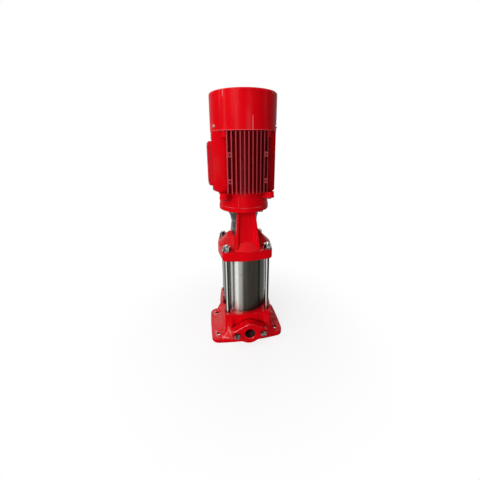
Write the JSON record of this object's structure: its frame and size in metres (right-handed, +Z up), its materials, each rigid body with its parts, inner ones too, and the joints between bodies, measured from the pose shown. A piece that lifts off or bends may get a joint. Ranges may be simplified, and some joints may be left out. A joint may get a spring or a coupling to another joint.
{
  "type": "vertical multistage centrifugal pump",
  "caption": "Upright in-line centrifugal pump: cast foot with oval port flanges, steel sleeve held by tie rods, cast head with motor stool, finned motor and fan cowl.",
  "frame": {"origin": "on the floor under the shaft axis, at the centre of the foot", "axes": "+Z up along the shaft, inlet port towards -Y, outlet port towards +Y, terminal box towards -X"},
  "size_m": [0.224, 0.225, 0.7053],
  "materials": {
    "red_enamel": "gloss enamel",
    "brushed_stainless": "brushed stainless steel",
    "zinc_steel": "bright zinc plate",
    "rubber": "moulded",
    "black_plastic": "moulded",
    "bare_steel": "machined",
    "copper_winding": "varnished copper wire",
    "cast_aluminium": "cast",
    "seal_ceramic": "ground ceramic"
  },
  "bodies": {
    "pump_frame": {"base_casting": "red_enamel", "bearing_balls": "bare_steel", "bearing_outer_races": "bare_steel", "cable_gland": "black_plastic", "coupling_guard_left": "brushed_stainless", "coupling_guard_right": "brushed_stainless", "cowl_screws": "zinc_steel", "discharge_bell": "brushed_stainless", "drain_plug": "zinc_steel", "drive_end_shield": "red_enamel", "drive_shield_bolts": "zinc_steel", "fan_cowl": "red_enamel", "guard_screws": "zinc_steel", "inlet_flange": "red_enamel", "lid_gasket": "rubber", "lid_screws": "zinc_steel", "motor_flange_bolts": "zinc_steel", "motor_housing": "red_enamel", "neck_rings": "black_plastic", "outer_sleeve": "brushed_stainless", "outlet_flange": "red_enamel", "port_flange_bolts": "zinc_steel", "port_gaskets": "rubber", "pump_head": "red_enamel", "rear_end_shield": "red_enamel", "rear_shield_screws": "zinc_steel", "rod_nuts": "zinc_steel", "rod_washers": "zinc_steel", "seal_cover": "brushed_stainless", "seal_seat": "seal_ceramic", "shaft_bushes": "seal_ceramic", "sleeve_gaskets": "rubber", "stage_chambers": "brushed_stainless", "stator_core": "bare_steel", "stator_windings": "copper_winding", "suction_plate": "brushed_stainless", "terminal_block": "black_plastic", "terminal_box": "red_enamel", "terminal_box_lid": "red_enamel", "tie_rods": "zinc_steel", "vent_plug": "zinc_steel"},
    "rotor": {"pump_shaft": "bare_steel", "impellers": "brushed_stainless", "shaft_spacers": "brushed_stainless", "shaft_nut": "zinc_steel", "seal_rotor": "brushed_stainless", "coupling_halves": "bare_steel", "coupling_bolts": "zinc_steel", "motor_shaft": "bare_steel", "rotor_core": "cast_aluminium", "cooling_fan": "black_plastic", "fan_clip": "zinc_steel", "bearing_inner_races": "bare_steel"}
  },
  "joints": [
    {"name": "rotor_spin", "type": "hinge", "parent": "pump_frame", "child": "rotor", "pos_m": [0, 0, 0.37], "axis": [0, 0, 1], "continuous": true}
  ]
}
